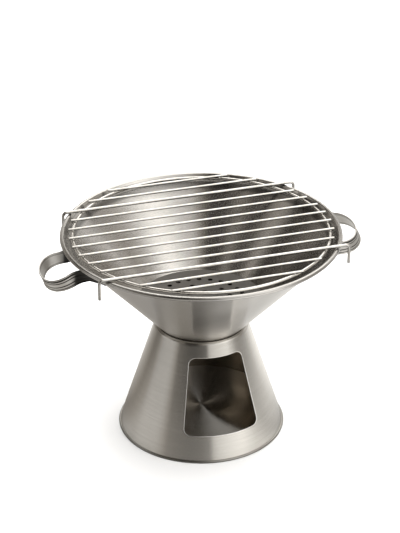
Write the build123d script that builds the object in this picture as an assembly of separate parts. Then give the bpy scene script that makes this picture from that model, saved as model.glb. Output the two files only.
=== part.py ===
"""Portable tabletop charcoal grill: a waisted stand, a fire bowl, a charcoal plate and a lift-off wire grate.

Millimetres. +Z is up, the origin is the centre of the foot on the table, the draught door faces -Y
and the handles stand out along X. Each function makes one piece of the real object.
"""

from build123d import *
from math import atan, cos, radians, sin, sqrt
import os

# Sheet metal and the gap between pieces that lift off one another
SHEET = 0.8
CLEARANCE = 0.3

# Stand: a truncated cone with a hemmed foot, an in-turned mouth and a draught door
FOOT_RADIUS = 102.4             # outside of the wall at the foot
FOOT_HEM_RADIUS = 1.6           # rolled hem round the foot
FOOT_HEM_HEIGHT = 1.4           # centre of the hem, pressed a little flat on the table
MOUTH_RADIUS = 57.9             # outside of the wall at the mouth
MOUTH_HEIGHT = 142.3
FLOOR_HEIGHT = 21.4             # top of the raised ash floor
DOOR_HALF_ANGLE = 31.0          # degrees each side of -Y; the door's sides run up the cone
DOOR_SILL = 32.0
DOOR_HEAD = 124.5
DOOR_CORNER_RADIUS = 8.0
LIP_SWEEP = 152.0               # degrees that the mouth's lip turns in and down

# Bowl: an open cone with a rolled rim
RIM_RADIUS = 170.0
RIM_BEAD_RADIUS = 2.8
RIM_CURL_SWEEP = 290.0          # degrees that the rim's edge is rolled outwards and down
BOWL_SLOPE = 0.9215             # growth of the bowl's radius for each millimetre of height
BOWL_RADIUS_AT_MOUTH = 53.3     # outside of the bowl level with the stand's mouth
THROAT_HEIGHT = 131.0           # the bowl's open lower end, inside the stand

# Charcoal plate
PLATE_TOP = 171.5
PLATE_THICKNESS = 1.0
PLATE_HOLE_RADIUS = 3.0
PLATE_RINGS = ((21.0, 6), (37.0, 12), (53.0, 24))    # each ring's radius and number of holes

# Grate
BAR_COUNT = 13
BAR_PITCH = 23.13
BAR_RADIUS = 1.5
BAR_REACH = 159.7               # the plain bars end on a circle of this radius
HOOKED_BARS = {3: (-151.0, 154.0), 11: (-148.0, 152.0)}     # bars bent down over the rim, and each leg's X
HOOK_BAR_RADIUS = 1.9
HOOK_LEG_END = 243.5            # height of the hooks' lower ends
HOOK_BEND_RADIUS = 5.0
GRATE_RING_RADIUS = 154.5
GRATE_RING_WIRE = 2.0

# Handles: a ribbed strip bent into an open loop in plan, with both ends welded to the bowl's cone.
# Neither loop is quite level or upright: each one's bends are named here, in millimetres and degrees.
STRIP_THICKNESS = 1.2
STRIP_HEIGHT = 19.5
STATIONS = 14                   # sections along each half of a strip
HANDLES = {
    "handle_left": {
        "side": -1, "reach": 197.8, "shift": -1.9,
        "loop": 26.4, "loop_sweep": 98.0, "neck": 17.8, "neck_sweep": 55.0,
        "tip_height": 233.2, "end_height": 245.3, "climb": 0.27, "tip_lean": 20.6, "end_lean": 34.0},
    "handle_right": {
        "side": 1, "reach": 200.2, "shift": -3.2,
        "loop": 35.5, "loop_sweep": 106.0, "neck": 19.5, "neck_sweep": 18.0,
        "tip_height": 240.5, "end_height": 236.0, "climb": 0.20, "tip_lean": -27.0, "end_lean": -12.0},
}
TAB_LENGTH = 45.0               # straight run into the bowl, trimmed where it meets the cone

STAND_SLOPE = (MOUTH_RADIUS - FOOT_RADIUS) / (MOUTH_HEIGHT - FOOT_HEM_HEIGHT)
STAND_ANGLE = atan(-STAND_SLOPE)
BOWL_ANGLE = atan(BOWL_SLOPE)
CURL_RADIUS = RIM_BEAD_RADIUS - SHEET / 2       # middle of the rolled sheet
CURL_START_RADIUS = RIM_RADIUS - RIM_BEAD_RADIUS - CURL_RADIUS * cos(BOWL_ANGLE)
CURL_START_OUTSIDE = CURL_START_RADIUS + SHEET / 2 / cos(BOWL_ANGLE)
CURL_START_HEIGHT = MOUTH_HEIGHT + (CURL_START_OUTSIDE - BOWL_RADIUS_AT_MOUTH) / BOWL_SLOPE
RIM_TOP = CURL_START_HEIGHT - CURL_RADIUS * sin(BOWL_ANGLE) + RIM_BEAD_RADIUS
GRATE_SEAT = RIM_TOP + CLEARANCE                # underside of the bars


def stand_radius(height):
    """Outside radius of the stand's wall."""
    return FOOT_RADIUS + STAND_SLOPE * (height - FOOT_HEM_HEIGHT)


def bowl_radius(height):
    """Outside radius of the bowl's cone."""
    return BOWL_RADIUS_AT_MOUTH + BOWL_SLOPE * (height - MOUTH_HEIGHT)


def turned(profile):
    """A solid of revolution about Z from a profile drawn in radius and height."""
    return revolve(Plane.XZ * profile, Axis.Z)


def lip_radius():
    """Radius of the mouth's lip, so that it ends at the mouth's height and just clears the bowl."""
    inset = (1 / cos(STAND_ANGLE)) + STAND_SLOPE
    gap_at_wall = MOUTH_RADIUS - BOWL_RADIUS_AT_MOUTH
    return (gap_at_wall * cos(BOWL_ANGLE) - CLEARANCE) / (1 + (inset - BOWL_SLOPE) * cos(BOWL_ANGLE))


def stand_cone():
    lip = lip_radius()
    lip_height = MOUTH_HEIGHT - lip
    lip_centre = stand_radius(lip_height) - lip / cos(STAND_ANGLE)
    middle = lip - SHEET / 2
    wall_foot = (stand_radius(FOOT_HEM_HEIGHT) - SHEET / 2 / cos(STAND_ANGLE), FOOT_HEM_HEIGHT)
    wall_top = (lip_centre + middle * cos(STAND_ANGLE), lip_height + middle * sin(STAND_ANGLE))
    wall = Line(wall_foot, wall_top)
    rolled = JernArc(wall_top, (-sin(STAND_ANGLE), cos(STAND_ANGLE)), middle, LIP_SWEEP)
    hem = Pos(FOOT_RADIUS, FOOT_HEM_HEIGHT) * Circle(FOOT_HEM_RADIUS)
    under_table = Pos(FOOT_RADIUS, -5) * Rectangle(20, 10)
    shell = turned(trace([wall, rolled], SHEET) + hem - under_table)
    return shell - door_cutter()


def door_cutter():
    """A tapered block through the front wall, with rounded corners."""
    spread = sin(radians(DOOR_HALF_ANGLE))
    low = stand_radius(DOOR_SILL) * spread
    high = stand_radius(DOOR_HEAD) * spread
    corners = ((-low, DOOR_SILL), (low, DOOR_SILL), (high, DOOR_HEAD), (-high, DOOR_HEAD))
    outline = make_face(Polyline(*corners, close=True))
    outline = fillet(outline.vertices(), DOOR_CORNER_RADIUS)
    return extrude(Plane.XZ * outline, FOOT_RADIUS * 1.5)


def ash_floor():
    """A raised disc with a skirt that stands inside the wall down to the hem."""
    skirt_end = FOOT_HEM_HEIGHT + FOOT_HEM_RADIUS
    inset = SHEET / cos(STAND_ANGLE) + 0.02
    top = stand_radius(FLOOR_HEIGHT) - inset
    foot = stand_radius(skirt_end) - inset
    skirt = SHEET / cos(STAND_ANGLE)
    profile = make_face(Polyline(
        (0, FLOOR_HEIGHT), (top, FLOOR_HEIGHT), (foot, skirt_end), (foot - skirt, skirt_end),
        (top - skirt, FLOOR_HEIGHT - SHEET), (0, FLOOR_HEIGHT - SHEET), close=True))
    return turned(profile)


def bowl():
    throat = (bowl_radius(THROAT_HEIGHT) - SHEET / 2 / cos(BOWL_ANGLE), THROAT_HEIGHT)
    curl_start = (CURL_START_RADIUS, CURL_START_HEIGHT)
    wall = Line(throat, curl_start)
    curl = JernArc(curl_start, (sin(BOWL_ANGLE), cos(BOWL_ANGLE)), CURL_RADIUS, -RIM_CURL_SWEEP)
    return turned(trace([wall, curl], SHEET))


def charcoal_plate():
    underside = PLATE_TOP - PLATE_THICKNESS
    wall = (SHEET + CLEARANCE) / cos(BOWL_ANGLE)
    radius = bowl_radius(underside) - wall
    disc = Circle(radius)
    for ring, count in PLATE_RINGS:
        disc -= PolarLocations(ring, count) * Circle(PLATE_HOLE_RADIUS)
    return extrude(Pos(0, 0, underside) * disc, PLATE_THICKNESS)


def grate_ring():
    return Pos(0, 0, GRATE_SEAT - GRATE_RING_WIRE) * Torus(GRATE_RING_RADIUS, GRATE_RING_WIRE)


def plain_bar(offset):
    """One straight bar, cut to end just outside the ring."""
    length = 2 * sqrt(BAR_REACH**2 - offset**2)
    place = Pos(0, offset, GRATE_SEAT + BAR_RADIUS) * Rot(0, 90, 0)
    return place * Cylinder(BAR_RADIUS, length)


def hooked_bar(offset, left, right):
    """A heavier bar that rests on the rim and turns down outside it at both ends."""
    height = GRATE_SEAT + HOOK_BAR_RADIUS
    path = FilletPolyline(
        (left, offset, HOOK_LEG_END), (left, offset, height),
        (right, offset, height), (right, offset, HOOK_LEG_END), radius=HOOK_BEND_RADIUS)
    section = Pos(left, offset, HOOK_LEG_END) * Circle(HOOK_BAR_RADIUS)
    return sweep(section, path)


def handle(shape):
    """One strip loop, lofted through its sections from end to end and trimmed by the bowl's cone."""
    loop = JernArc((shape["loop"], 0), (0, 1), shape["loop"], shape["loop_sweep"])
    neck = JernArc(loop @ 1, loop % 1, shape["neck"], -shape["neck_sweep"])
    tab = Line(neck @ 1, (neck @ 1) + (neck % 1) * TAB_LENGTH)
    half = Wire([loop, neck, tab])
    weld = (neck @ 1).X
    sections = []
    for station in range(-STATIONS, STATIONS + 1):
        share = abs(station) / STATIONS
        point = half @ share
        heading = half % share
        if station < 0:
            point = Vector(point.X, -point.Y)
            heading = Vector(-heading.X, heading.Y)
        sections.append(strip_section(shape, point, heading, weld))
    strip = loft(sections)
    return (strip - bowl_envelope()).solids().sort_by(SortBy.VOLUME)[-1]


def strip_section(shape, point, heading, weld):
    """The strip's section at one point of its plan, leaning and raised as that part of the loop is."""
    outward = min(max((point.X - weld) / (shape["loop"] - weld), 0), 1)
    lean = radians(shape["end_lean"] + (shape["tip_lean"] - shape["end_lean"]) * outward)
    height = shape["end_height"] + (shape["tip_height"] - shape["end_height"]) * outward
    climb = shape["climb"] * outward
    reach = shape["side"] * (shape["reach"] - shape["loop"] + point.X)
    centre = Vector(reach, point.Y + shape["shift"], height + climb * point.Y)
    upward = Vector(shape["side"] * sin(lean), -sin(climb), cos(lean)).normalized()
    along = Vector(shape["side"] * heading.X, heading.Y, climb * heading.Y)
    across = along.cross(upward).normalized()
    plane = Plane(origin=centre, x_dir=upward, z_dir=across.cross(upward))
    return plane * Rectangle(STRIP_HEIGHT, STRIP_THICKNESS)


def bowl_envelope():
    """Everything inside the bowl's outer surface."""
    low = (bowl_radius(THROAT_HEIGHT), THROAT_HEIGHT)
    high = (bowl_radius(RIM_TOP), RIM_TOP)
    return turned(make_face(Polyline((0, THROAT_HEIGHT), low, high, (0, RIM_TOP), close=True)))


def grate_bars():
    """Every bar of the grate by name, counted from the front."""
    middle = (BAR_COUNT + 1) / 2
    bars = {}
    for number in range(1, BAR_COUNT + 1):
        offset = (number - middle) * BAR_PITCH
        if number in HOOKED_BARS:
            bars[f"grate_hooked_bar_{number:02d}"] = hooked_bar(offset, *HOOKED_BARS[number])
        else:
            bars[f"grate_bar_{number:02d}"] = plain_bar(offset)
    return bars


def pieces():
    made = {
        "stand_cone": stand_cone(),
        "ash_floor": ash_floor(),
        "bowl": bowl(),
        "charcoal_plate": charcoal_plate(),
        "grate_ring": grate_ring(),
    }
    for name, shape in HANDLES.items():
        made[name] = handle(shape)
    made.update(grate_bars())
    return made


os.makedirs("parts", exist_ok=True)
for name, solid in pieces().items():
    export_step(solid, f"parts/{name}.step")
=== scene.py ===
"""Portable tabletop charcoal grill in brushed stainless steel, on a pale studio floor.

Metres, +Z up, with the draught door towards -Y.
"""

from math import atan, atan2, cos, exp, hypot, pi, radians, sin, sqrt

import bmesh
import bpy
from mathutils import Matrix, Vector, noise


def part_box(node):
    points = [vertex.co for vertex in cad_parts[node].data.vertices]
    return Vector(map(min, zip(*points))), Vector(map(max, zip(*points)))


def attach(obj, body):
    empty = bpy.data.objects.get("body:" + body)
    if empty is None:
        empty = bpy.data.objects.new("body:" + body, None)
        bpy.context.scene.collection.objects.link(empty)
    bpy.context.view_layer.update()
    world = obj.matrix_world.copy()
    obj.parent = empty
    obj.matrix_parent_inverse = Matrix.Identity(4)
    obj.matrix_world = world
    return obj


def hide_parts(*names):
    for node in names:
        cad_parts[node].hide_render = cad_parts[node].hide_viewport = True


MM = 0.001

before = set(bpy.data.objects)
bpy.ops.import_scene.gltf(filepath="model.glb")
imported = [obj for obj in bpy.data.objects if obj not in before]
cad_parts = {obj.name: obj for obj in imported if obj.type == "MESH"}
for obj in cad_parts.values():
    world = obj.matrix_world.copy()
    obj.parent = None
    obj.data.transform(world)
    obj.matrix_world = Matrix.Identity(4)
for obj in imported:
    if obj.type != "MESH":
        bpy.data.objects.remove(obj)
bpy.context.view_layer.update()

# ---------------------------------------------------------------- driving dimensions
FOOT_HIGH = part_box("stand_cone")[1]
FLOOR_LOW, FLOOR_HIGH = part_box("ash_floor")
BOWL_LOW, BOWL_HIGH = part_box("bowl")
RING_LOW, RING_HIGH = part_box("grate_ring")

SHEET = 0.8 * MM
SEGMENTS = 360                      # steps round every turned piece
MERGE_DISTANCE = 1e-7
WALL_WANDER = 0.12 * MM             # how far the stand's sheet wanders from a true cone
BOWL_WANDER = 0.22 * MM             # and the bowl's
WALL_NOISE = (1.8, 10)              # scales of that wandering, round the axis and up it
TURNED_NOISE = (1.6, 9)
WANDER_NEAR_AXIS = 0.03             # a turned piece wanders less inside this radius

HEM_RADIUS = 1.6 * MM
HEM_HEIGHT = 1.4 * MM
FOOT_RADIUS = FOOT_HIGH[0] - HEM_RADIUS
MOUTH_RADIUS = 57.9 * MM
MOUTH_HEIGHT = FOOT_HIGH[2]
LIP_RADIUS = 3.6 * MM
LIP_SWEEP = radians(152)
STAND_SLOPE = (MOUTH_RADIUS - FOOT_RADIUS) / (MOUTH_HEIGHT - HEM_HEIGHT)
STAND_ANGLE = atan(-STAND_SLOPE)

DOOR_HALF_ANGLE = radians(31)
DOOR_SILL = 32.0 * MM
DOOR_HEAD = 124.5 * MM
DOOR_CORNER = 8.0 * MM
PATCH_HALF_ANGLE = radians(36)
PATCH_MARGIN = 5.0 * MM
STAND_ROWS = (14, 72, 6)            # steps up the wall below, beside and above the patch round the door
PATCH_RINGS = 10
RING_CROWDING = 0.8                 # below 1, the patch's rings crowd towards the door
DOOR_ROUNDING = 0.011               # width of the eased edge round the door, as a share of half the patch
DOOR_EASE = 0.28 * MM

RIM_RADIUS = BOWL_HIGH[0] - 0.12 * MM
RIM_TOP = BOWL_HIGH[2]
THROAT = BOWL_LOW[2]
BEAD_RADIUS = 2.8 * MM
CURL_SWEEP = radians(290)
SHOULDER = 11.0 * MM                # how far below the bead the wall starts to turn up
SHOULDER_TURN = radians(16)
BOWL_SLOPE = 0.9215
BOWL_ANGLE = atan(BOWL_SLOPE)
BOWL_RADIUS_AT_MOUTH = 53.3 * MM

BAR_RADIUS = 1.5 * MM
HOOK_RADIUS = 1.9 * MM
HOOK_BEND = 5.0 * MM
RING_WIRE = (RING_HIGH[2] - RING_LOW[2]) / 2
RING_RADIUS = RING_HIGH[0] - RING_WIRE
RING_HEIGHT = (RING_HIGH[2] + RING_LOW[2]) / 2

STRIP_HEIGHT = 19.5 * MM
STRIP_THICKNESS = 1.2 * MM


def stand_radius(height):
    """Outside radius of the stand's wall."""
    return FOOT_RADIUS + STAND_SLOPE * (height - HEM_HEIGHT)


def bowl_radius(height):
    """Outside radius of the bowl's cone."""
    return BOWL_RADIUS_AT_MOUTH + BOWL_SLOPE * (height - MOUTH_HEIGHT)


# ---------------------------------------------------------------- mesh helpers
def finish_mesh(name, vertices, faces, sharp=40):
    """An object from vertices and faces, smooth but for edges sharper than the given angle."""
    mesh = bpy.data.meshes.new(name)
    mesh.from_pydata([tuple(v) for v in vertices], [], faces)
    shape = bmesh.new()
    shape.from_mesh(mesh)
    bmesh.ops.remove_doubles(shape, verts=shape.verts, dist=MERGE_DISTANCE)
    bmesh.ops.recalc_face_normals(shape, faces=shape.faces)
    shape.to_mesh(mesh)
    shape.free()
    mesh.shade_smooth()
    mesh.set_sharp_from_angle(angle=radians(sharp))
    piece = bpy.data.objects.new(name, mesh)
    bpy.context.scene.collection.objects.link(piece)
    return piece


def arc(centre, radius, start, sweep, steps):
    """Points on an arc in the radius and height plane."""
    angles = [start + sweep * k / steps for k in range(steps + 1)]
    return [(centre[0] + radius * cos(angle), centre[1] + radius * sin(angle)) for angle in angles]


def straight(a, b, steps):
    """Evenly spaced points from a to b."""
    return [(a[0] + (b[0] - a[0]) * k / steps, a[1] + (b[1] - a[1]) * k / steps) for k in range(steps + 1)]


def curve(a, a_heading, b, b_heading, pull, steps):
    """A smooth line from a to b that leaves and arrives at the given headings."""
    points = []
    for k in range(steps + 1):
        t = k / steps
        weights = (2 * t**3 - 3 * t**2 + 1, t**3 - 2 * t**2 + t, 3 * t**2 - 2 * t**3, t**3 - t**2)
        x = (a[0], pull * cos(a_heading), b[0], pull * cos(b_heading))
        y = (a[1], pull * sin(a_heading), b[1], pull * sin(b_heading))
        points.append((sum(w * v for w, v in zip(weights, x)), sum(w * v for w, v in zip(weights, y))))
    return points


def band(path, thickness):
    """A closed outline of even thickness round an open path."""
    left, right = [], []
    for k, (x, y) in enumerate(path):
        before = path[max(k - 1, 0)]
        after = path[min(k + 1, len(path) - 1)]
        dx, dy = after[0] - before[0], after[1] - before[1]
        length = hypot(dx, dy)
        nx, ny = -dy / length * thickness / 2, dx / length * thickness / 2
        left.append((x + nx, y + ny))
        right.append((x - nx, y - ny))
    return left + right[::-1]


def lathe(name, outline, wobble=0.0, sharp=40):
    """A closed outline in radius and height, turned round Z.

    wobble is how far the sheet wanders from a true cone, in metres.
    """
    count = len(outline)
    vertices = []
    for step in range(SEGMENTS):
        angle = 2 * pi * step / SEGMENTS
        for radius, height in outline:
            drift = 1.0
            if wobble and radius > 0:
                across, along = TURNED_NOISE
                spot = Vector((cos(angle) * across, sin(angle) * across, height * along))
                drift += wobble * noise.noise(spot) / max(radius, WANDER_NEAR_AXIS)
            vertices.append((radius * drift * cos(angle), radius * drift * sin(angle), height))
    faces = []
    for step in range(SEGMENTS):
        for k in range(count):
            here = step * count
            ahead = (step + 1) % SEGMENTS * count
            after = (k + 1) % count
            faces.append((here + k, here + after, ahead + after, ahead + k))
    return finish_mesh(name, vertices, faces, sharp)


def tube(name, points, radius, sides=20, end_round=0.35):
    """A wire along points, with its cut ends slightly rounded."""
    points = [Vector(p) for p in points]
    first = (points[1] - points[0]).normalized()
    last = (points[-1] - points[-2]).normalized()
    cap = radius * end_round
    rounding = [(cap * (1 - cos(t)), radius - cap * (1 - sin(t))) for t in (0.0, 0.5, 1.0, pi / 2)]
    stations = [(points[0] + first * inset, r) for inset, r in rounding]
    stations += [(point, radius) for point in points[1:-1]]
    stations += [(points[-1] - last * inset, r) for inset, r in rounding[::-1]]
    side = Vector((0, 1, 0))
    vertices, faces = [], []
    for k, (centre, r) in enumerate(stations):
        ahead = stations[min(k + 1, len(stations) - 1)][0] - stations[max(k - 1, 0)][0]
        ahead.normalize()
        across = side - ahead * side.dot(ahead)
        across.normalize()
        other = ahead.cross(across)
        for s in range(sides):
            t = 2 * pi * s / sides
            vertices.append(centre + across * r * cos(t) + other * r * sin(t))
    for k in range(len(stations) - 1):
        for s in range(sides):
            a, b = k * sides + s, k * sides + (s + 1) % sides
            faces.append((a, b, b + sides, a + sides))
    faces.append(tuple(range(sides))[::-1])
    faces.append(tuple(range((len(stations) - 1) * sides, len(stations) * sides)))
    return finish_mesh(name, vertices, faces, sharp=50)


def place(piece, body, slot, material, *nodes):
    """Gives a piece its body and material, and hides the CAD nodes it stands for."""
    piece.data.materials.clear()
    piece.data.materials.append(material)
    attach(piece, body)
    if nodes:
        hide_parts(*nodes)
    return piece


# ---------------------------------------------------------------- materials
class Nodes:
    """A short way to write a node tree."""

    def __init__(self, tree):
        self.tree = tree

    def add(self, kind, inputs=None, **settings):
        """A new node. An input is a plain value or another node's output."""
        node = self.tree.nodes.new(kind)
        for key, value in settings.items():
            setattr(node, key, value)
        for key, value in (inputs or {}).items():
            if hasattr(value, "is_linked"):
                self.tree.links.new(value, node.inputs[key])
            else:
                node.inputs[key].default_value = value
        return node

    def math(self, operation, a, b=None, clamp=False):
        """The result of one operation."""
        node = self.add("ShaderNodeMath", {0: a}, operation=operation, use_clamp=clamp)
        if b is not None:
            if hasattr(b, "is_linked"):
                self.tree.links.new(b, node.inputs[1])
            else:
                node.inputs[1].default_value = b
        return node.outputs[0]

    def blend(self, *parts):
        """The sum of values, each times its weight."""
        total = None
        for value, weight in parts:
            part = self.math("MULTIPLY", value, weight)
            total = part if total is None else self.math("ADD", total, part)
        return total

    def radius(self, x, y):
        """Distance from the axis."""
        squares = self.math("ADD", self.math("MULTIPLY", x, x), self.math("MULTIPLY", y, y))
        return self.math("SQRT", squares)

    def ramp(self, value, stops):
        """A colour that depends on a value. Stops are (value, colour)."""
        node = self.add("ShaderNodeValToRGB", {0: value})
        ramp = node.color_ramp
        while len(ramp.elements) < len(stops):
            ramp.elements.new(0.5)
        for element, (position, colour) in zip(ramp.elements, stops):
            element.position = position
            element.color = (*colour, 1)
        return node.outputs[0]

    def darken(self, colour, value, span, stops):
        """The colour cut down to a share that depends on a value. Stops are (value times span, share)."""
        share = self.ramp(value, [(at / span, (left, left, left)) for at, left in stops])
        return self.add("ShaderNodeVectorMath", {0: colour, 1: share}, operation="MULTIPLY").outputs[0]

    def noise(self, vector, scale, detail, rough):
        """Cloudy noise from 0 to 1."""
        node = self.add(
            "ShaderNodeTexNoise", {"Vector": vector, "Scale": scale, "Detail": detail, "Roughness": rough})
        return node.outputs["Fac"]


def new_material(name):
    """A material with an empty node tree, and its nodes."""
    material = bpy.data.materials.new(name)
    material.use_nodes = True
    material.node_tree.nodes.clear()
    return material, Nodes(material.node_tree)


def finish_metal(n, colour, roughness, bump, brush=None):
    """Joins what all the metals have in common to the material's output."""
    shader = n.add("ShaderNodeBsdfPrincipled", {
        "Base Color": colour, "Metallic": 1.0, "Roughness": roughness, "Normal": bump.outputs[0],
        **(brush or {})})
    n.add("ShaderNodeOutputMaterial", {0: shader.outputs[0]})


OUTWARD_SHARE = 0.9                 # how close together the brush's rings are outwards, if 1 is upwards
FINE_RINGS = {"around": 2.0, "along": 5200}
BROAD_RINGS = {"around": 0.9, "along": 900}


def turned_coordinates(n, around, along):
    """A vector that runs slowly round Z and quickly outwards or upwards, for marks of a lathe's brush."""
    x, y, z = n.add("ShaderNodeSeparateXYZ", {0: n.add("ShaderNodeTexCoord").outputs["Object"]}).outputs
    angle = n.math("ARCTAN2", y, x)
    run = n.blend((z, along), (n.radius(x, y), along * OUTWARD_SHARE))
    cosine = n.math("MULTIPLY", n.math("COSINE", angle), around)
    sine = n.math("MULTIPLY", n.math("SINE", angle), around)
    return n.add("ShaderNodeCombineXYZ", {0: cosine, 1: sine, 2: run}).outputs[0]


def brushed_steel(name, light, dark, rough, aniso, marks=None):
    """Stainless sheet brushed on a lathe: fine rings, and highlights drawn out across the rings.

    marks are (metres below the rim, share of the colour left) for bands of painted shade round the rim.
    """
    material, n = new_material(name)
    fine = n.noise(turned_coordinates(n, **FINE_RINGS), scale=1.0, detail=3, rough=0.7)
    broad = n.noise(turned_coordinates(n, **BROAD_RINGS), scale=1.0, detail=4, rough=0.65)
    position = n.add("ShaderNodeTexCoord").outputs["Object"]
    cloud = n.noise(position, scale=9.0, detail=3, rough=0.5)
    tone = n.blend((fine, 0.45), (broad, 0.30), (cloud, 0.25))
    colour = n.ramp(tone, [(0.32, dark), (0.68, light)])
    # painted shade: the colour is darkened in bands below the rim
    if marks:
        depth = n.math("SUBTRACT", RIM_TOP, n.add("ShaderNodeSeparateXYZ", {0: position}).outputs[2])
        colour = n.darken(colour, n.math("DIVIDE", depth, RIM_SHADE_DEPTH), RIM_SHADE_DEPTH, marks)
    uneven = n.blend((n.math("SUBTRACT", fine, 0.5), 0.05), (n.math("SUBTRACT", cloud, 0.5), 0.08))
    roughness = n.math("ADD", uneven, rough, clamp=True)
    height = n.blend((fine, 0.7), (broad, 0.12))
    bump = n.add("ShaderNodeBump", {"Strength": 0.025, "Distance": 0.04 * MM, "Height": height})
    tangent = n.add("ShaderNodeTangent", direction_type="RADIAL", axis="Z")
    finish_metal(n, colour, roughness, bump, {
        "Anisotropic": aniso, "Anisotropic Rotation": 0.25, "Tangent": tangent.outputs[0]})
    return material


# How far a wire's surface faces up, from 0 to 1, and the share of the colour left: painted shade on the
# undersides.
WIRE_UNDERSIDE_SHADE = [(0.15, 0.22), (0.42, 0.40), (0.60, 1.0)]


def wire_metal(name):
    """Bright plated wire with fine pits and warmer marks, with painted shade underneath."""
    material, n = new_material(name)
    position = n.add("ShaderNodeTexCoord").outputs["Object"]
    cloud = n.noise(position, scale=60.0, detail=3, rough=0.6)
    pits = n.noise(position, scale=900.0, detail=2, rough=0.6)
    tone = n.blend((cloud, 0.7), (pits, 0.3))
    colour = n.ramp(tone, [(0.3, (0.64, 0.61, 0.565)), (0.62, (0.84, 0.82, 0.785))])
    # painted shade: the colour darkens where the surface faces down
    normal = n.add("ShaderNodeNewGeometry").outputs["Normal"]
    facing = n.add("ShaderNodeSeparateXYZ", {0: normal}).outputs[2]
    upward = n.math("ADD", n.math("MULTIPLY", facing, 0.5), 0.5)
    colour = n.darken(colour, upward, 1.0, WIRE_UNDERSIDE_SHADE)
    roughness = n.math("ADD", n.math("MULTIPLY", pits, 0.16), 0.16)
    bump = n.add("ShaderNodeBump", {"Strength": 0.35, "Distance": 0.08 * MM, "Height": pits})
    finish_metal(n, colour, roughness, bump)
    return material


def strip_metal(name, light, dark, rough, root=None):
    """Satin strip drawn lengthwise.

    root are (metres outwards from under the bead, share of the colour left) for painted shade at its roots,
    where it meets the bowl.
    """
    material, n = new_material(name)
    position = n.add("ShaderNodeTexCoord").outputs["Object"]
    x, y, z = n.add("ShaderNodeSeparateXYZ", {0: position}).outputs
    lengthwise, upright = 40.0, 2600.0
    stretched = n.add("ShaderNodeCombineXYZ", {
        0: n.math("MULTIPLY", x, lengthwise), 1: n.math("MULTIPLY", y, lengthwise),
        2: n.math("MULTIPLY", z, upright)}).outputs[0]
    fine = n.noise(stretched, scale=1.0, detail=3, rough=0.6)
    cloud = n.noise(position, scale=70.0, detail=3, rough=0.55)
    colour = n.ramp(n.blend((fine, 0.6), (cloud, 0.4)), [(0.3, dark), (0.7, light)])
    # painted shade: the strip darkens towards its roots under the bead
    if root:
        beyond = n.math("SUBTRACT", n.radius(x, y), RIM_RADIUS - ROOT_START)
        colour = n.darken(colour, n.math("DIVIDE", beyond, ROOT_SHADE_DEPTH), ROOT_SHADE_DEPTH, root)
    roughness = n.math("ADD", n.math("MULTIPLY", fine, 0.12), rough)
    bump = n.add("ShaderNodeBump", {"Strength": 0.4, "Distance": 0.06 * MM, "Height": fine})
    finish_metal(n, colour, roughness, bump)
    return material


# Painted shade round the rim and at the handles' roots: how deep it goes below the rim or out from the
# bead, and (metres, share of the colour left).
RIM_SHADE_DEPTH = 20 * MM
ROOT_START = 6 * MM                 # how far inside the rim the handles' roots start
# Painted shade inside the rim: on the bead and along the wall next to the ring, standing in for shadow and
# dark reflections.
INSIDE_RIM_SHADE = [
    (0.0, 0.90), (2.5 * MM, 0.98), (4.0 * MM, 0.60), (5.2 * MM, 0.90), (8.0 * MM, 0.85), (10.4 * MM, 0.48),
    (12.8 * MM, 0.48), (15.5 * MM, 1.0)]
# Painted shade outside the rim: the bead toned down, and a dark band under its curl standing in for its
# shadow.
OUTSIDE_RIM_SHADE = [(0.0, 0.80), (3.4 * MM, 0.90), (5.2 * MM, 0.28), (6.4 * MM, 0.35), (7.4 * MM, 1.0)]
ROOT_SHADE_DEPTH = 12 * MM
# Painted shade, nearly black, where the handles' strips meet the bowl under the bead.
ROOT_PAINTED_SHADE = [(0.0, 0.05), (1.8 * MM, 0.08), (4.2 * MM, 0.50), (8.0 * MM, 0.85), (11.5 * MM, 1.0)]

STAND_STEEL = brushed_steel(
    "stand_brushed", (0.69, 0.668, 0.63), (0.56, 0.538, 0.50), rough=0.24, aniso=0.9)
# The hem's colour is painted darker than the stand's: painted shade for the dark line round the foot.
HEM_SHADED_STEEL = brushed_steel("hem_painted_shade", (0.40, 0.385, 0.36), (0.26, 0.25, 0.23), rough=0.30, aniso=0.6)
BOWL_STEEL = brushed_steel(
    "bowl_brushed", (0.69, 0.67, 0.64), (0.56, 0.54, 0.51), rough=0.25, aniso=0.9, marks=OUTSIDE_RIM_SHADE)
BOWL_INSIDE_STEEL = brushed_steel(
    "bowl_inside", (0.69, 0.67, 0.64), (0.56, 0.54, 0.51), rough=0.22, aniso=0.92, marks=INSIDE_RIM_SHADE)
FLOOR_STEEL = brushed_steel(
    "floor_brushed", (0.56, 0.54, 0.51), (0.42, 0.405, 0.38), rough=0.44, aniso=0.99)
# The plate's colour is painted very dark: painted shade, standing in for the shade low in the bowl.
PLATE_SHADED_STEEL = brushed_steel(
    "plate_painted_shade", (0.115, 0.108, 0.10), (0.065, 0.061, 0.056), rough=0.36, aniso=0.5)
GRATE_WIRE = wire_metal("grate_plated")
INSIDE_STEEL = brushed_steel(
    "inside_mill", (0.80, 0.735, 0.65), (0.62, 0.565, 0.49), rough=0.16, aniso=0.9)
# The door's cut edge is painted brighter than the sheet: a painted highlight.
EDGE_HIGHLIGHT_STEEL = strip_metal("cut_edge_highlight", (0.90, 0.885, 0.86), (0.78, 0.765, 0.74), rough=0.34)
HANDLE_STEEL = strip_metal(
    "handle_satin", (0.74, 0.72, 0.685), (0.58, 0.56, 0.525), rough=0.36, root=ROOT_PAINTED_SHADE)
INNER_STRIP_STEEL = strip_metal(
    "handle_inner", (0.70, 0.685, 0.655), (0.54, 0.525, 0.50), rough=0.40, root=ROOT_PAINTED_SHADE)
# Painted shade: faint dark lines along the inner side's shallow grooves.
LINE_SHADE_STEEL = strip_metal(
    "handle_line_shade", (0.34, 0.33, 0.31), (0.24, 0.23, 0.215), rough=0.42, root=ROOT_PAINTED_SHADE)
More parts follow.
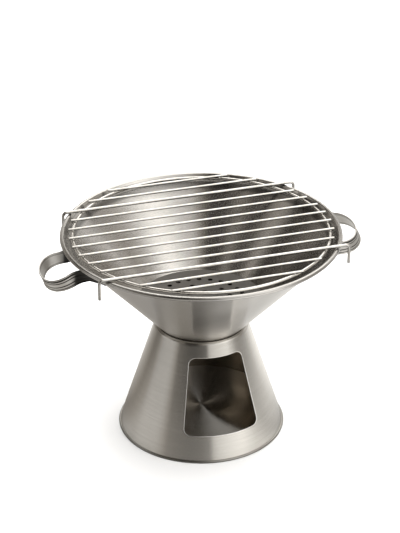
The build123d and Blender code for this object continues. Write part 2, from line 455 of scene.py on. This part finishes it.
# Painted shade in the handle's grooves, standing in for the shade inside them.
GROOVE_SHADE_STEEL = strip_metal("handle_groove_shade", (0.12, 0.113, 0.105), (0.05, 0.047, 0.043), rough=0.45)
# Dark weld colour: partly weld scale, partly painted shade where the handles meet the bowl.
WELD_SCALE_AND_SHADE_STEEL = strip_metal("weld_scale_and_shade", (0.20, 0.18, 0.165), (0.07, 0.062, 0.055), rough=0.45)


# ---------------------------------------------------------------- stand
def lip_path():
    """Middle of the sheet through the mouth's in-turned lip."""
    middle = LIP_RADIUS - SHEET / 2
    height = MOUTH_HEIGHT - LIP_RADIUS
    centre = (stand_radius(height) - LIP_RADIUS / cos(STAND_ANGLE), height)
    return arc(centre, middle, STAND_ANGLE, LIP_SWEEP, steps=26)


def door_outline():
    """The door as (angle from -Y, height) points, counter-clockwise from the middle of the sill."""
    points = []
    corners = [
        (DOOR_HALF_ANGLE, DOOR_SILL, -pi / 2), (DOOR_HALF_ANGLE, DOOR_HEAD, 0.0),
        (-DOOR_HALF_ANGLE, DOOR_HEAD, pi / 2), (-DOOR_HALF_ANGLE, DOOR_SILL, pi)]
    for angle, height, start in corners:
        inward = -1 if angle > 0 else 1
        upward = 1 if height == DOOR_SILL else -1
        across = DOOR_CORNER / (stand_radius(height) * cos(DOOR_HALF_ANGLE))
        middle = (angle + inward * across, height + upward * DOOR_CORNER)
        steps = 12
        for k in range(steps + 1):
            t = start + pi / 2 * k / steps
            points.append((middle[0] + across * cos(t), middle[1] + DOOR_CORNER * sin(t)))
    return points


def door_reach(outline, middle, scale):
    """A function from direction to the door outline's distance, in the patch's own units."""
    flat = [(angle / scale[0], (height - middle) / scale[1]) for angle, height in outline]
    slack = 1e-9

    def reach(direction):
        """How far the outline is from the patch's middle."""
        dx, dy = cos(direction), sin(direction)
        for k in range(len(flat)):
            ax, ay = flat[k]
            bx, by = flat[(k + 1) % len(flat)]
            ex, ey = bx - ax, by - ay
            cross = dx * ey - dy * ex
            if abs(cross) < 1e-12:
                continue
            t = (ax * ey - ay * ex) / cross
            s = (ax * dy - ay * dx) / cross
            if t > 0 and -slack <= s <= 1 + slack:
                return t
        raise ValueError("the door's outline has a gap")

    return reach


def wall_point(angle, height, inset):
    """A point of the stand's wall, inset below its outer surface. angle is from -Y towards +X."""
    radius = stand_radius(height) - inset / cos(STAND_ANGLE)
    across, along = WALL_NOISE
    spot = Vector((sin(angle) * across, cos(angle) * across, height * along))
    radius += WALL_WANDER * noise.noise(spot)
    return (radius * sin(angle), -radius * cos(angle), height)


def stand_piece():
    """The stand as one sheet: a grid round the cone, a patch of rings round the door, and the lip."""
    low, high = DOOR_SILL - PATCH_MARGIN, DOOR_HEAD + PATCH_MARGIN
    columns = round(2 * PATCH_HALF_ANGLE / (2 * pi) * SEGMENTS)
    below, rows, above = STAND_ROWS
    lip = lip_path()
    top_of_wall = lip[0][1]
    heights = [HEM_HEIGHT + (low - HEM_HEIGHT) * k / below for k in range(below)]
    heights += [low + (high - low) * k / rows for k in range(rows)]
    heights += [high + (top_of_wall - high) * k / above for k in range(above + 1)]
    first_row, last_row = below, below + rows
    vertices, faces = [], []

    def layer(inset):
        """One side of the sheet. Returns the loops of its door, foot and mouth edges."""
        base = len(vertices)
        total = len(heights)
        for step in range(SEGMENTS):
            angle = -PATCH_HALF_ANGLE + 2 * pi * step / SEGMENTS
            for height in heights:
                vertices.append(wall_point(angle, height, inset))

        def index(step, row):
            """The vertex at a step round the wall and a row up it."""
            return base + step % SEGMENTS * total + row

        for step in range(SEGMENTS):
            for row in range(total - 1):
                if step < columns and first_row <= row < last_row:
                    continue
                near = (index(step, row), index(step + 1, row))
                far = (index(step + 1, row + 1), index(step, row + 1))
                faces.append(near + far)
        edge = [(c, first_row) for c in range(columns)] + [(columns, first_row + r) for r in range(rows)]
        edge += [(c, last_row) for c in range(columns, 0, -1)] + [(0, last_row - r) for r in range(rows)]
        middle = (low + high) / 2
        scale = (PATCH_HALF_ANGLE, (high - low) / 2)
        reach = door_reach(door_outline(), middle, scale)
        loops = [[index(c, r) for c, r in edge]]
        for ring in range(1, PATCH_RINGS + 1):
            loop = []
            for c, r in edge:
                u = -1 + 2 * c / columns
                v = -1 + 2 * (r - first_row) / rows
                outer = hypot(u, v)
                inner = reach(atan2(v, u))
                share = (ring / (PATCH_RINGS - 1)) ** RING_CROWDING
                last = ring == PATCH_RINGS
                reached = inner if last else outer + (inner + DOOR_ROUNDING - outer) * share
                eased = DOOR_EASE if last and inset == 0 else 0
                at = reached / outer
                loop.append(len(vertices))
                vertices.append(wall_point(u * at * scale[0], middle + v * at * scale[1], inset + eased))
            loops.append(loop)
        for outer, inner in zip(loops, loops[1:]):
            for k in range(len(edge)):
                m = (k + 1) % len(edge)
                faces.append((outer[k], outer[m], inner[m], inner[k]))
        foot = [index(step, 0) for step in range(SEGMENTS)]
        top = [index(step, total - 1) for step in range(SEGMENTS)]
        return loops[-1], foot, top

    def lip_loops(path_side):
        """One side of the lip, as loops round the mouth."""
        loops = []
        for radius, height in path_side:
            start = len(vertices)
            for step in range(SEGMENTS):
                angle = -PATCH_HALF_ANGLE + 2 * pi * step / SEGMENTS
                vertices.append((radius * sin(angle), -radius * cos(angle), height))
            loops.append([start + step for step in range(SEGMENTS)])
        return loops

    def bridge(a, b):
        """A band of faces between two loops."""
        for k in range(len(a)):
            m = (k + 1) % len(a)
            faces.append((a[k], a[m], b[m], b[k]))

    outer_door, outer_foot, outer_top = layer(0.0)
    inner_door, inner_foot, inner_top = layer(SHEET)
    bridge(outer_door, inner_door)
    outline = band(lip, SHEET)
    half = len(outline) // 2
    outer_side = outline[half:][::-1][1:]
    inner_side = outline[:half][1:]
    outer_lip = lip_loops(outer_side)
    inner_lip = lip_loops(inner_side)
    for chain, start in ((outer_lip, outer_top), (inner_lip, inner_top)):
        for a, b in zip([start] + chain, chain):
            bridge(a, b)
    bridge(outer_lip[-1], inner_lip[-1])
    bridge(outer_foot, inner_foot)
    return finish_mesh("stand_shell", vertices, faces, sharp=38)


def hem_piece():
    """The rolled hem round the foot, pressed a little flat on the table."""
    roll = arc((0, HEM_HEIGHT), HEM_RADIUS, 0, 2 * pi, steps=28)[:-1]
    return lathe("foot_hem", [(FOOT_RADIUS + x, max(z, 0.0)) for x, z in roll], sharp=35)


# How squarely a face looks outwards: -1 is straight at the axis, 1 is straight away from it.
INNER_FACE = -0.3
EDGE_FACE = 0.85


def outwardness(face):
    """How squarely a face looks away from the axis."""
    centre, normal = face.center, face.normal
    return (centre.x * normal.x + centre.y * normal.y) / hypot(centre.x, centre.y)


def mark_inside(piece, inside, edge):
    """The inner face of the sheet keeps its dull mill finish, and the door's edge gets a painted highlight.
    """
    piece.data.materials.append(inside)
    piece.data.materials.append(edge)
    margin = 2 * MM
    for face in piece.data.polygons:
        outward = outwardness(face)
        if outward < INNER_FACE:
            face.material_index = 1
        beside = abs(atan2(face.center.x, -face.center.y)) < PATCH_HALF_ANGLE
        level = DOOR_SILL - margin < face.center.z < DOOR_HEAD + margin
        if beside and level and abs(outward) < EDGE_FACE:
            face.material_index = 2


stand = place(stand_piece(), "stand", "stand_steel", STAND_STEEL, "stand_cone")
mark_inside(stand, INSIDE_STEEL, EDGE_HIGHLIGHT_STEEL)
place(hem_piece(), "stand", "stand_steel", HEM_SHADED_STEEL)


# ---------------------------------------------------------------- ash floor
def floor_piece():
    """A pressed disc with a small radius into its skirt."""
    top = FLOOR_HIGH[2]
    skirt_end = FLOOR_LOW[2]
    skirt = SHEET / cos(STAND_ANGLE)
    inset = skirt + 0.02 * MM
    outer = stand_radius(top) - inset
    foot = stand_radius(skirt_end) - inset
    edge = 1.2 * MM
    inner_fold = 0.4 * MM
    outline = [(0, top - SHEET), (0, top), (outer * 0.1, top), (outer * 0.5, top), (outer - edge, top)]
    outline += arc((outer - edge, top - edge), edge, pi / 2, -pi / 2 + STAND_ANGLE, steps=6)[1:]
    outline += [(foot, skirt_end), (foot - skirt, skirt_end), (outer - skirt - inner_fold, top - SHEET)]
    return lathe("floor_pan", outline, sharp=35)


place(floor_piece(), "stand", "floor_steel", FLOOR_STEEL, "ash_floor")


# ---------------------------------------------------------------- bowl
def bowl_piece():
    """The cone, a slight shoulder where it turns up under the bead, and the bead rolled outwards."""
    curl = BEAD_RADIUS - SHEET / 2
    centre = (RIM_RADIUS - BEAD_RADIUS, RIM_TOP - BEAD_RADIUS)
    tangent = pi - BOWL_ANGLE
    corner = (centre[0] + curl * cos(tangent), centre[1] + curl * sin(tangent))
    throat = (bowl_radius(THROAT) - SHEET / 2 / cos(BOWL_ANGLE), THROAT)
    shoulder = (corner[0] - SHOULDER * sin(BOWL_ANGLE), corner[1] - SHOULDER * cos(BOWL_ANGLE))
    start = tangent + SHOULDER_TURN
    end = (centre[0] + curl * cos(start), centre[1] + curl * sin(start))
    path = straight(throat, shoulder, steps=40)[:-1]
    path += curve(shoulder, pi / 2 - BOWL_ANGLE, end, start - pi / 2, pull=SHOULDER, steps=14)[:-1]
    path += arc(centre, curl, start, -CURL_SWEEP - SHOULDER_TURN, steps=44)
    return lathe("bowl_shell", band(path, SHEET), wobble=BOWL_WANDER, sharp=50)


BEAD_TOP_FACE = 0.1                 # on top of the bead, a face that looks outwards more is outside


def mark_bowl_inside(piece, inside):
    """The bowl's inner face, up to the top of the bead, has bands of painted shade of its own."""
    piece.data.materials.append(inside)
    for face in piece.data.polygons:
        if outwardness(face) < BEAD_TOP_FACE and face.normal.z > 0:
            face.material_index = 1


mark_bowl_inside(place(bowl_piece(), "bowl", "bowl_steel", BOWL_STEEL, "bowl"), BOWL_INSIDE_STEEL)


# ---------------------------------------------------------------- charcoal plate
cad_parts["charcoal_plate"].data.materials.clear()
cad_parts["charcoal_plate"].data.materials.append(PLATE_SHADED_STEEL)


# ---------------------------------------------------------------- grate
def ring_piece():
    """The wire circle under the bars."""
    wire = arc((RING_RADIUS, RING_HEIGHT), RING_WIRE, 0, 2 * pi, steps=24)[:-1]
    return lathe("ring_wire", wire, sharp=60)


def straight_bar(node):
    """A plain bar along the middle of its node's box."""
    low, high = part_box(node)
    y, z = (low[1] + high[1]) / 2, (low[2] + high[2]) / 2
    steps = 24
    points = [(low[0] + (high[0] - low[0]) * k / steps, y, z) for k in range(steps + 1)]
    return tube(node.replace("grate_bar", "straight_bar"), points, BAR_RADIUS)


def hooked_bar(node):
    """A heavier bar, bent down at both ends to the bottom of its node's box."""
    low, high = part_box(node)
    y = (low[1] + high[1]) / 2
    top = high[2] - HOOK_RADIUS
    above_end, below_bend, beside_bend = 6 * MM, 3 * MM, 4 * MM
    legs = []
    for end, side in ((high[0] - HOOK_RADIUS, 1), (low[0] + HOOK_RADIUS, -1)):
        reach = abs(end)
        corner = (reach - HOOK_BEND, top - HOOK_BEND)
        leg = [(reach, low[2]), (reach, low[2] + above_end), (reach, corner[1] - below_bend)]
        leg += arc(corner, HOOK_BEND, 0, pi / 2, steps=12)
        legs.append([(side * x, z) for x, z in leg])
    right, left = legs
    span = straight((right[-1][0] - beside_bend, top), (left[-1][0] + beside_bend, top), steps=30)
    path = [(x, y, z) for x, z in right + span + left[::-1]]
    return tube(node.replace("grate_hooked_bar", "hooked_bar"), path, HOOK_RADIUS)


WELD_LUMPS = 0.18                   # how uneven a weld is, as a share of its size
WELD_LUMP_SCALE = 1.7
GRATE_WELD = (2.3 * MM, 1.9 * MM, 1.0 * MM)                 # half the size of a blob, as is HANDLE_WELD
HANDLE_WELD = (1.5 * MM, 1.5 * MM, 1.5 * MM)
GRATE_WELD_SUNK = 0.1 * MM
HANDLE_WELD_BLOBS = 9


def weld_blob(centre, size, seed):
    """Vertices and faces of one small uneven weld."""
    vertices, faces = [], []
    rings, sides = 7, 12
    for i in range(rings + 1):
        a = pi * i / rings
        for j in range(sides):
            b = 2 * pi * j / sides
            direction = Vector((sin(a) * cos(b), sin(a) * sin(b), cos(a)))
            spot = direction * WELD_LUMP_SCALE + Vector((seed, seed * 0.37, 0))
            lump = 1 + WELD_LUMPS * noise.noise(spot)
            vertices.append(centre + Vector([direction[k] * size[k] * lump for k in range(3)]))
    for i in range(rings):
        for j in range(sides):
            a, b = i * sides + j, i * sides + (j + 1) % sides
            faces.append((a, b, b + sides, a + sides))
    return vertices, faces


def welds_piece(nodes):
    """A small weld where each bar crosses the ring."""
    vertices, faces = [], []
    for number, node in enumerate(nodes):
        low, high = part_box(node)
        y = (low[1] + high[1]) / 2
        x = sqrt(RING_RADIUS**2 - y**2)
        for side in (-1, 1):
            centre = Vector((side * x, y, RING_HIGH[2] - GRATE_WELD_SUNK))
            some, more = weld_blob(centre, GRATE_WELD, seed=number * 3.1 + side)
            faces += [tuple(len(vertices) + k for k in face) for face in more]
            vertices += some
    return finish_mesh("grate_welds", vertices, faces, sharp=80)


place(ring_piece(), "grate", "grate_wire", GRATE_WIRE, "grate_ring")
bar_nodes = sorted(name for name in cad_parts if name.startswith(("grate_bar", "grate_hooked_bar")))
for node in bar_nodes:
    make = hooked_bar if "hooked" in node else straight_bar
    place(make(node), "grate", "grate_wire", GRATE_WIRE, node)
place(welds_piece(bar_nodes), "grate", "grate_wire", GRATE_WIRE)


# ---------------------------------------------------------------- handles
# Millimetres and degrees, as the strip is bent: a loop in plan, a neck turned back, and a straight run in.
HANDLES = {
    "handle_left": {
        "side": -1, "reach": 197.8, "shift": -1.9,
        "loop": 26.4, "loop_sweep": 98.0, "neck": 17.8, "neck_sweep": 55.0,
        "tip_height": 233.2, "end_height": 245.3, "climb": 0.27, "tip_lean": 20.6, "end_lean": 34.0},
    "handle_right": {
        "side": 1, "reach": 200.2, "shift": -3.2,
        "loop": 35.5, "loop_sweep": 106.0, "neck": 19.5, "neck_sweep": 18.0,
        "tip_height": 240.5, "end_height": 236.0, "climb": 0.20, "tip_lean": -27.0, "end_lean": -12.0},
}
TAB_LENGTH = 45.0
TAB_CLEARANCE = 0.15 * MM
DEEP_GROOVE = 2.9 * MM
SHALLOW_GROOVE = 6.7 * MM


def strip_plan(shape):
    """Half of the strip in plan, as points and headings from the loop's tip, and where the neck ends."""
    loop, sweep = shape["loop"], radians(shape["loop_sweep"])
    neck, back = shape["neck"], radians(shape["neck_sweep"])
    loop_steps, neck_steps, tab_steps = 46, 20, 30
    turns = [sweep * k / loop_steps for k in range(loop_steps + 1)]
    points = [(loop * cos(t), loop * sin(t), t + pi / 2) for t in turns]
    x, y, _ = points[-1]
    centre = (x + cos(sweep) * neck, y + sin(sweep) * neck)
    for k in range(1, neck_steps + 1):
        turned = sweep - back * k / neck_steps
        x, y = centre[0] - neck * cos(turned), centre[1] - neck * sin(turned)
        points.append((x, y, turned + pi / 2))
    x, y, heading = points[-1]
    for k in range(1, tab_steps + 1):
        run = TAB_LENGTH * k / tab_steps
        points.append((x + run * cos(heading), y + run * sin(heading), heading))
    return points, x


def strip_section():
    """The strip's section as (up, outward): a rolled hem along each edge, four grooves pressed outside."""
    half = STRIP_HEIGHT / 2
    hem = 1.0 * MM
    thick = STRIP_THICKNESS / 2
    reach = half - hem
    outer_set_back, inner_set_back = 0.4 * MM, 0.35 * MM
    pressed_through = 0.12

    def groove(up, middle, depth, width):
        """How far one pair of grooves sets the face back."""
        return -depth * exp(-(((abs(up) - middle) / width) ** 2))

    def pressed(up):
        """The outer face, from the plane of the hems."""
        deep = groove(up, DEEP_GROOVE, depth=0.70 * MM, width=0.60 * MM)
        shallow = groove(up, SHALLOW_GROOVE, depth=0.55 * MM, width=0.55 * MM)
        return deep + shallow - outer_set_back

    steps = 60
    flat = [-reach + hem + 2 * (reach - hem) * k / steps for k in range(steps + 1)]
    outer = [(up, pressed(up) + thick) for up in flat]
    inner = [(up, pressed_through * pressed(up) - inner_set_back - thick) for up in flat]
    top = arc((reach, -outer_set_back), hem, start=2.5, sweep=-5.0, steps=14)
    bottom = [(-up, over) for up, over in top[::-1]]
    return outer + top + inner[::-1] + bottom


def handle_piece(name, shape):
    """The strip, with its long lines cut off where they meet the bowl, so that its ends lie on the cone."""
    plan, weld = strip_plan(shape)
    whole = [(x, -y, pi - h) for x, y, h in plan[:0:-1]] + plan
    section = strip_section()
    lines = [[] for _ in section]
    for x, y, heading in whole:
        outward = min(max((x - weld) / (shape["loop"] - weld), 0), 1)
        lean = radians(shape["end_lean"] + (shape["tip_lean"] - shape["end_lean"]) * outward)
        height = shape["end_height"] + (shape["tip_height"] - shape["end_height"]) * outward
        climb = shape["climb"] * outward
        side = shape["side"]
        reach = shape["reach"] - shape["loop"] + x
        centre = Vector((side * reach, y + shape["shift"], height + climb * y)) * MM
        upward = Vector((side * sin(lean), -sin(climb), cos(lean))).normalized()
        along = Vector((side * cos(heading), sin(heading), climb * sin(heading)))
        across = along.cross(upward).normalized()
        for line, (up, over) in zip(lines, section):
            line.append(centre + upward * up + across * over * side)
    cut = [trim(line) for line in lines]
    count = len(cut)
    steps = len(cut[0])
    vertices = [cut[j][i] for i in range(steps) for j in range(count)]
    faces = []
    for i in range(steps - 1):
        for j in range(count):
            a, b = i * count + j, i * count + (j + 1) % count
            faces.append((a, b, b + count, a + count))
    faces.append(tuple(range(count)))
    faces.append(tuple(range((steps - 1) * count, steps * count))[::-1])
    ends = [[line[0] for line in cut], [line[-1] for line in cut]]
    return finish_mesh(name, vertices, faces, sharp=42), ends


INNER_SIDE = -0.75 * MM             # the strip's section is its inner side beyond this
# How far the grooves' painted shade and the inner side's lines of painted shade reach to each side of a
# groove's middle.
DEEP_GROOVE_SHADE = 0.62 * MM
UPPER_GROOVE_SHADE = 1.3 * MM
LOWER_GROOVE_SHADE = 0.5 * MM
LINE_WIDTH = 0.45 * MM


def mark_faces(piece, groove, inner, line):
    """Gives the strip's grooves painted shade and its inner face a lighter finish with two faint lines of
    painted shade.
    """
    for material in (groove, inner, line):
        piece.data.materials.append(material)
    section = strip_section()
    count = len(section)
    for face in list(piece.data.polygons)[:-2]:
        (up, over), (next_up, next_over) = section[face.index % count], section[(face.index + 1) % count]
        up = (up + next_up) / 2
        from_deep, from_shallow = abs(abs(up) - DEEP_GROOVE), abs(abs(up) - SHALLOW_GROOVE)
        # painted shade: groove faces and the inner side's lines get darker materials
        if (over + next_over) / 2 < INNER_SIDE:
            face.material_index = 3 if from_shallow < LINE_WIDTH else 2
        elif from_deep < DEEP_GROOVE_SHADE or from_shallow < (UPPER_GROOVE_SHADE if up > 0 else LOWER_GROOVE_SHADE):
            face.material_index = 1


def outside(point):
    """How far a point is outside the bowl's cone, in metres."""
    return hypot(point.x, point.y) - bowl_radius(point.z) - TAB_CLEARANCE


def trim(line, steps=130):
    """The stretch of a line that lies outside the bowl, in even steps."""
    middle = len(line) // 2
    ends = []
    for direction in (-1, 1):
        k = middle
        while 0 < k < len(line) - 1 and outside(line[k + direction]) > 0:
            k += direction
        other = line[min(max(k + direction, 0), len(line) - 1)]
        a, b = outside(line[k]), outside(other)
        share = a / (a - b) if a != b else 0
        ends.append((k, line[k].lerp(other, min(max(share, 0), 1))))
    kept = [ends[0][1]] + line[ends[0][0]:ends[1][0] + 1] + [ends[1][1]]
    lengths = [0.0]
    for a, b in zip(kept, kept[1:]):
        lengths.append(lengths[-1] + (b - a).length)
    result = []
    k = 0
    for step in range(steps + 1):
        target = lengths[-1] * step / steps
        while k < len(kept) - 2 and lengths[k + 1] < target:
            k += 1
        span = lengths[k + 1] - lengths[k]
        share = (target - lengths[k]) / span if span > 0 else 0
        result.append(kept[k].lerp(kept[k + 1], min(max(share, 0), 1)))
    return result


def handle_weld(name, ends):
    """A run of weld along each end of the strip, where it meets the bowl."""
    vertices, faces = [], []
    for number, end in enumerate(ends):
        low = min(end, key=lambda point: point.z)
        high = max(end, key=lambda point: point.z)
        for k in range(HANDLE_WELD_BLOBS):
            centre = low.lerp(high, (k + 0.5) / HANDLE_WELD_BLOBS)
            some, more = weld_blob(centre, HANDLE_WELD, seed=number * 7.7 + k * 1.3)
            faces += [tuple(len(vertices) + i for i in face) for face in more]
            vertices += some
    return finish_mesh(name, vertices, faces, sharp=80)


for name, shape in HANDLES.items():
    piece, ends = handle_piece(name.replace("handle", "strip_handle"), shape)
    place(piece, "bowl", "handle_steel", HANDLE_STEEL, name)
    mark_faces(piece, GROOVE_SHADE_STEEL, INNER_STRIP_STEEL, LINE_SHADE_STEEL)
    place(handle_weld(name.replace("handle", "handle_weld"), ends), "bowl", "handle_steel", WELD_SCALE_AND_SHADE_STEEL)


# ---------------------------------------------------------------- studio
VIEW_AZIMUTH = radians(-17.63)
VIEW_ELEVATION = radians(27.59)
VIEW_DISTANCE = 2.172
VIEW_AIM = Vector((-0.0016, 0.0, 0.2172))
LENS = 120.9                        # millimetres, as is the sensor's width
SENSOR_WIDTH = 36

# What the polished metal sees all round, as (degrees from the camera's side, brightness).
WALLS = [                                                   # at eye level
    (-180, 0.85), (-160, 0.80), (-148, 0.50), (-122, 0.34), (-104, 0.30), (-97, 0.78), (-66, 0.84),
    (-58, 0.62), (-48, 0.12), (-20, 0.02), (12, 0.03), (17, 0.80), (30, 1.05), (58, 1.35), (70, 0.84),
    (80, 0.40), (104, 0.32), (116, 0.58), (134, 0.90), (155, 0.95), (180, 0.85)]
SOFTBOXES = [                                               # higher up
    (-180, 0.30), (-152, 0.20), (-140, 0.02), (-112, 0.01), (-104, 0.05), (-98, 0.44), (-88, 0.44),
    (-80, 0.03), (-63, 0.04), (-54, 0.30), (-46, 0.30), (-38, 0.03), (-12, 0.05), (0, 0.30), (14, 0.75),
    (34, 1.0), (62, 1.9), (76, 1.5), (92, 0.68), (108, 0.38), (120, 0.34), (128, 0.78), (150, 0.75),
    (180, 0.30)]
FLOOR_RING = [                                              # on the floor
    (-180, 1.10), (-158, 1.15), (-140, 0.60), (-112, 0.33), (-98, 0.50), (-84, 0.74), (-62, 0.74),
    (-46, 0.58), (-30, 0.60), (0, 0.68), (13, 0.85), (19, 1.20), (32, 1.40), (58, 1.65), (72, 1.15),
    (84, 0.78), (110, 0.90), (128, 1.20), (144, 1.35), (162, 0.95), (180, 1.10)]
# The share of the floor's brightness at a distance in metres from the middle.
FLOOR_GLOW = [(0.100, 0.02), (0.116, 0.75), (0.20, 0.95), (0.42, 1.08), (0.95, 0.38)]
OVERHEAD = 2.4
OVERHEAD_DIRECTION = Vector((0.27, 0.45, 0.85)).normalized()
OVERHEAD_EDGE = (34, 24)            # degrees from its direction over which the overhead softbox fades in
SOFTBOX_EDGE = (14, 30)             # degrees up over which the walls give way to the softboxes
# Brightness, and the tint of the studio's parts that bright: the dark ones are a little warm.
TINTS = [(0.0, (1.0, 0.90, 0.78)), (0.35, (1.0, 0.93, 0.84)), (0.8, (1.0, 0.985, 0.955))]
BRIGHT_TINT = TINTS[-1][1]
FLOOR_SIZE = 6.0                    # half the floor's width


def flat_sheet(name, size, height, material):
    """A flat square of the studio."""
    mesh = bpy.data.meshes.new(name)
    corners = [(-size, -size, height), (size, -size, height), (size, size, height), (-size, size, height)]
    mesh.from_pydata(corners, [], [(0, 1, 2, 3)])
    mesh.materials.append(material)
    sheet = bpy.data.objects.new(name, mesh)
    bpy.context.scene.collection.objects.link(sheet)
    return sheet


def turntable_floor():
    """The white floor, which holds the shadow and isn't mirrored in the metal."""
    material, n = new_material("studio_white")
    shader = n.add("ShaderNodeBsdfPrincipled", {
        "Base Color": (0.9, 0.9, 0.9, 1), "Roughness": 0.9, "Specular IOR Level": 0.0})
    n.add("ShaderNodeOutputMaterial", {0: shader.outputs[0]})
    floor = flat_sheet("studio_floor", FLOOR_SIZE, height=0.0, material=material)
    floor.visible_glossy = False


def mirrored_floor():
    """What the metal mirrors of the floor: dark next to the foot and unevenly bright further out."""
    material, n = new_material("studio_floor_glow")
    x, y, _ = n.add("ShaderNodeSeparateXYZ", {0: n.add("ShaderNodeTexCoord").outputs["Object"]}).outputs
    share = n.ramp(n.radius(x, y), [(reach, (glow, glow, glow)) for reach, glow in FLOOR_GLOW])
    ring = round_ramp(n, view_turn(n, x, y), FLOOR_RING)
    emission = n.add("ShaderNodeEmission", {"Color": warm_dark(n, ring), "Strength": share})
    n.add("ShaderNodeOutputMaterial", {0: emission.outputs[0]})
    sheet = flat_sheet("studio_floor_glow", FLOOR_SIZE, height=-2 * MM, material=material)
    sheet.visible_camera = False
    sheet.visible_diffuse = False
    sheet.visible_shadow = False


def view_turn(n, x, y):
    """Direction round Z as a share of a turn, with the camera's side in the middle."""
    azimuth = n.math("ARCTAN2", x, n.math("MULTIPLY", y, -1.0))
    turn = n.math("DIVIDE", n.math("SUBTRACT", azimuth, VIEW_AZIMUTH), 2 * pi)
    return n.math("FRACT", n.math("ADD", turn, 0.5))


def warm_dark(n, ring):
    """The studio's colour at a brightness."""
    tint = n.ramp(ring, TINTS)
    return n.add("ShaderNodeVectorMath", {0: ring, 1: tint}, operation="MULTIPLY").outputs[0]


def round_ramp(n, turn, stops):
    """Brightness all round the studio, from stops in degrees."""
    return n.ramp(turn, [((degree + 180) / 360, (value, value, value)) for degree, value in stops])


def studio_world():
    """A soft studio: walls and softboxes of uneven brightness, and a large softbox overhead."""
    world = bpy.data.worlds.new("studio_world")
    world.use_nodes = True
    world.node_tree.nodes.clear()
    n = Nodes(world.node_tree)
    direction = n.add("ShaderNodeTexCoord").outputs["Generated"]
    x, y, z = n.add("ShaderNodeSeparateXYZ", {0: direction}).outputs
    turn = view_turn(n, x, y)

    def rise(value, low, high):
        """Eases from 0 to 1 as a value goes from low to high."""
        inputs = {"Value": value, "From Min": low, "From Max": high}
        return n.add("ShaderNodeMapRange", inputs, interpolation_type="SMOOTHSTEP").outputs[0]

    def mix(share, a, b):
        """The colour that is a at share 0 and b at share 1."""
        node = n.add("ShaderNodeMix", {0: share}, data_type="RGBA")
        for socket, value in ((node.inputs[6], a), (node.inputs[7], b)):
            if hasattr(value, "is_linked"):
                n.tree.links.new(value, socket)
            else:
                socket.default_value = value
        return node.outputs[2]

    higher = rise(z, *[sin(radians(degrees)) for degrees in SOFTBOX_EDGE])
    ring = mix(higher, round_ramp(n, turn, WALLS), round_ramp(n, turn, SOFTBOXES))
    toward = n.add("ShaderNodeVectorMath", {0: direction, 1: OVERHEAD_DIRECTION}, operation="DOT_PRODUCT")
    toward = toward.outputs["Value"]
    overhead = rise(toward, *[cos(radians(degrees)) for degrees in OVERHEAD_EDGE])
    sky = mix(overhead, warm_dark(n, ring), (*[OVERHEAD * tint for tint in BRIGHT_TINT], 1))
    background = n.add("ShaderNodeBackground", {"Color": sky, "Strength": 1.0})
    n.add("ShaderNodeOutputWorld", {0: background.outputs[0]})
    bpy.context.scene.world = world


def soft_light(name, position, target, width, height, power):
    """A large softbox, which the metal doesn't mirror: the studio round it does that."""
    light = bpy.data.lights.new(name, "AREA")
    light.shape = "RECTANGLE"
    light.size, light.size_y = width, height
    light.energy = power
    lamp = bpy.data.objects.new(name, light)
    lamp.location = position
    lamp.rotation_euler = (Vector(target) - Vector(position)).to_track_quat("-Z", "Y").to_euler()
    lamp.visible_glossy = False
    bpy.context.scene.collection.objects.link(lamp)


def camera():
    """A long lens from the front left, a little above the rim."""
    level = Vector((sin(VIEW_AZIMUTH), -cos(VIEW_AZIMUTH), 0.0))
    back = level * cos(VIEW_ELEVATION) + Vector((0.0, 0.0, sin(VIEW_ELEVATION)))
    data = bpy.data.cameras.new("camera")
    data.lens = LENS
    data.sensor_width = SENSOR_WIDTH
    data.clip_end = 50
    eye = bpy.data.objects.new("camera", data)
    eye.location = VIEW_AIM + back * VIEW_DISTANCE
    eye.rotation_euler = (-back).to_track_quat("-Z", "Y").to_euler()
    bpy.context.scene.collection.objects.link(eye)
    bpy.context.scene.camera = eye


turntable_floor()
mirrored_floor()
studio_world()
soft_light("ceiling_panel", position=(0, 0, 3.2), target=(0, 0, 0), width=4.5, height=4.5, power=225)
camera()
bpy.context.scene.view_settings.view_transform = "Standard"
